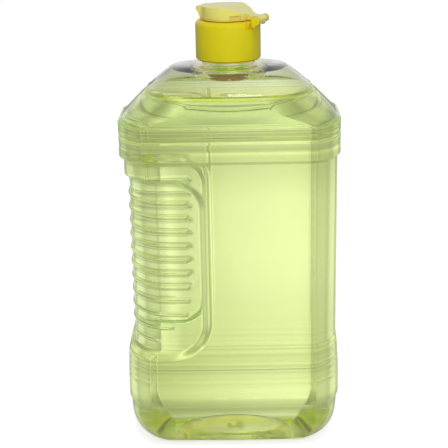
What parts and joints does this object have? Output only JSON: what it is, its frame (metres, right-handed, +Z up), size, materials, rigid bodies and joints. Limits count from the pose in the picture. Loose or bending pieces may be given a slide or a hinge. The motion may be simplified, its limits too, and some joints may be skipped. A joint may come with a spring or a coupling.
{
  "type": "cologne bottle",
  "caption": "Clear blown plastic bottle of cologne with a ribbed side grip, a recessed label panel and a yellow flip-top screw cap.",
  "frame": {"origin": "middle of the base, at the height the bottle stands on", "axes": "+Z up, front towards -Y, the ribbed grip towards -X"},
  "size_m": [0.1042, 0.0648, 0.2143],
  "materials": {
    "clear_plastic": "clear, glossy blown plastic",
    "cologne_liquid": "clear yellow-green liquid",
    "liner_foam": "white pressed foam",
    "cap_plastic": "smooth moulded yellow plastic",
    "lid_plastic": "smooth moulded yellow plastic, slightly translucent"
  },
  "bodies": {
    "bottle": {"bottle": "clear_plastic", "cologne": "cologne_liquid"},
    "liner": {"cap_liner": "liner_foam"},
    "cap": {"screw_cap": "cap_plastic"},
    "lid": {"flip_lid": "lid_plastic"}
  },
  "joints": [
    {"name": "cap_lift", "type": "slide", "parent": "bottle", "child": "liner", "axis": [0, 0, 1], "range_m": [0, 0.00631]},
    {"name": "cap_turn", "type": "hinge", "parent": "liner", "child": "cap", "pos_m": [0, 0, 0.2], "axis": [0, 0, 1], "range_deg": [0, 540]},
    {"name": "lid_hinge", "type": "hinge", "parent": "cap", "child": "lid", "pos_m": [0.01503, -0.00547, 0.2083], "axis": [0.342, 0.9397, 0], "range_deg": [0, 140]}
  ],
  "couplings": [
    {"joint": "cap_lift", "follows": "cap_turn", "m_per_rad": 0.00066845}
  ]
}
